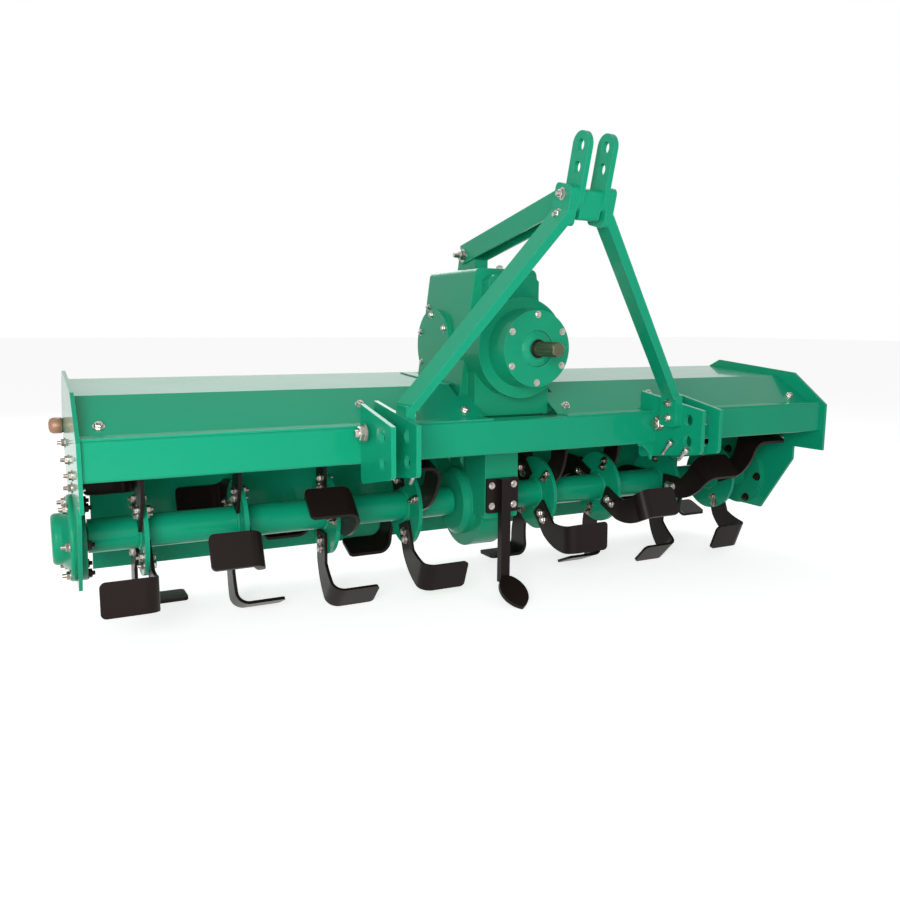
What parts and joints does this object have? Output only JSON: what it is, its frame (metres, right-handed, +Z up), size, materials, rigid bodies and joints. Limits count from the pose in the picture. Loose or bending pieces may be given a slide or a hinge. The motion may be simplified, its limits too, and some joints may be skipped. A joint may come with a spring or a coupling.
{
  "type": "three-point hitch rotary tiller",
  "caption": "Wide green rotary tiller with a gearbox in the middle, a curved-blade rotor under a hood, a hinged tailboard and a hitch mast.",
  "frame": {"origin": "on the ground under the middle of the machine's box", "axes": "+X across the machine, to the left of the direction of travel; +Y to the rear; +Z up"},
  "size_m": [2.132, 0.8347, 1.1173],
  "materials": {
    "green_paint": "gloss",
    "cast_green": "semi-gloss over castings",
    "black_paint": "satin",
    "bare_steel": "machined",
    "zinc_steel": "zinc plated"
  },
  "bodies": {
    "frame": {"beam_left": "green_paint", "beam_right": "green_paint", "bearing_housing_left": "cast_green", "bearing_housing_right": "cast_green", "brace_lug": "green_paint", "centre_beam": "green_paint", "chisel": "black_paint", "chisel_point": "black_paint", "crosspiece": "green_paint", "drive_case": "cast_green", "gearbox_housing": "cast_green", "hinge_rod": "zinc_steel", "hitch_inner_left": "green_paint", "hitch_inner_right": "green_paint", "hitch_outer_left": "green_paint", "hitch_outer_right": "green_paint", "hood_left": "green_paint", "hood_right": "green_paint", "input_cap": "cast_green", "mast_arm_left": "green_paint", "mast_arm_right": "green_paint", "rear_brace": "green_paint", "side_plate_left": "green_paint", "side_plate_right": "green_paint", "top_link_ear_left": "green_paint", "top_link_ear_right": "green_paint"},
    "rotor": {"blades_1_left": "black_paint", "blades_1_right": "black_paint", "blades_2_left": "black_paint", "blades_2_right": "black_paint", "blades_3_left": "black_paint", "blades_3_right": "black_paint", "blades_4_left": "black_paint", "blades_4_right": "black_paint", "flanges_left": "green_paint", "flanges_right": "green_paint", "rotor_tube_left": "green_paint", "rotor_tube_right": "green_paint"},
    "input": {"pto_shaft": "bare_steel"},
    "tailboard": {"tailboard": "green_paint"}
  },
  "joints": [
    {"name": "rotor_spin", "type": "hinge", "parent": "frame", "child": "rotor", "pos_m": [0, 0.1335, 0.23735], "axis": [1, 0, 0], "continuous": true},
    {"name": "input_spin", "type": "hinge", "parent": "frame", "child": "input", "pos_m": [0, -0.1145, 0.66135], "axis": [0, 1, 0], "continuous": true},
    {"name": "tailboard_hinge", "type": "hinge", "parent": "frame", "child": "tailboard", "pos_m": [0, 0.3835, 0.46435], "axis": [1, 0, 0], "range_deg": [0, 60]}
  ],
  "couplings": [
    {"joint": "input_spin", "follows": "rotor_spin", "ratio": -2.4375}
  ]
}
